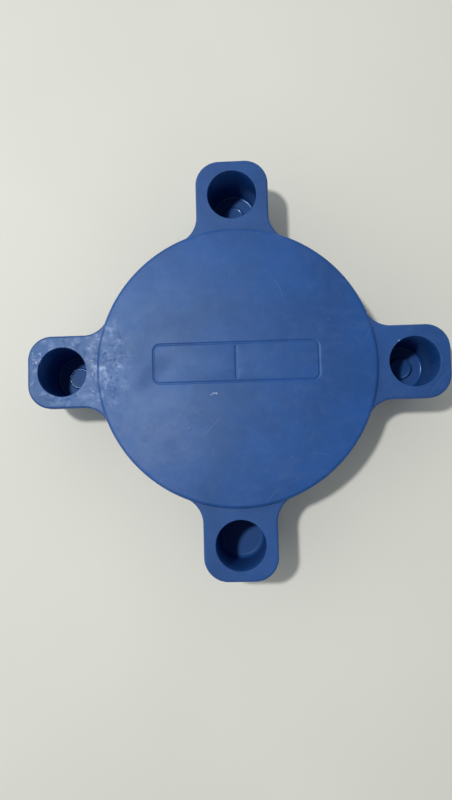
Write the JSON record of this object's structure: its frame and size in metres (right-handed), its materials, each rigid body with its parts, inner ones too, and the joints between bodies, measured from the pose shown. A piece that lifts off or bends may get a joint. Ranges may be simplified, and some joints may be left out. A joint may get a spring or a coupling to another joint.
{
  "type": "push-in flange blanking cover",
  "caption": "Round plastic blanking cover for a pipe flange, with lugs on hollow pegs that push into the bolt holes.",
  "frame": {"origin": "on the cover's axis, in the plane that the peg tips stand on", "axes": "+Z out of the pipe, from the peg tips to the disc's outer face; +X through the east lug and +Y through the north lug"},
  "size_m": [0.1448, 0.1448, 0.0262],
  "materials": {
    "carrier_plastic": "satin mid-blue moulding with a light bloom and fine scratches",
    "disc_plastic": "satin mid-blue moulding with a light bloom, mottling and fine scratches",
    "peg_plastic": "satin mid-blue moulding, glossier inside the pocket",
    "plug_plastic": "satin mid-blue moulding with a glossy rim"
  },
  "bodies": {
    "root": {"lug_carrier": "carrier_plastic", "cover_disc": "disc_plastic", "peg_east": "peg_plastic", "peg_north": "peg_plastic", "peg_west": "peg_plastic", "peg_south": "peg_plastic", "floor_plug_east": "plug_plastic", "floor_plug_north": "plug_plastic", "floor_plug_west": "plug_plastic"}
  },
  "joints": []
}
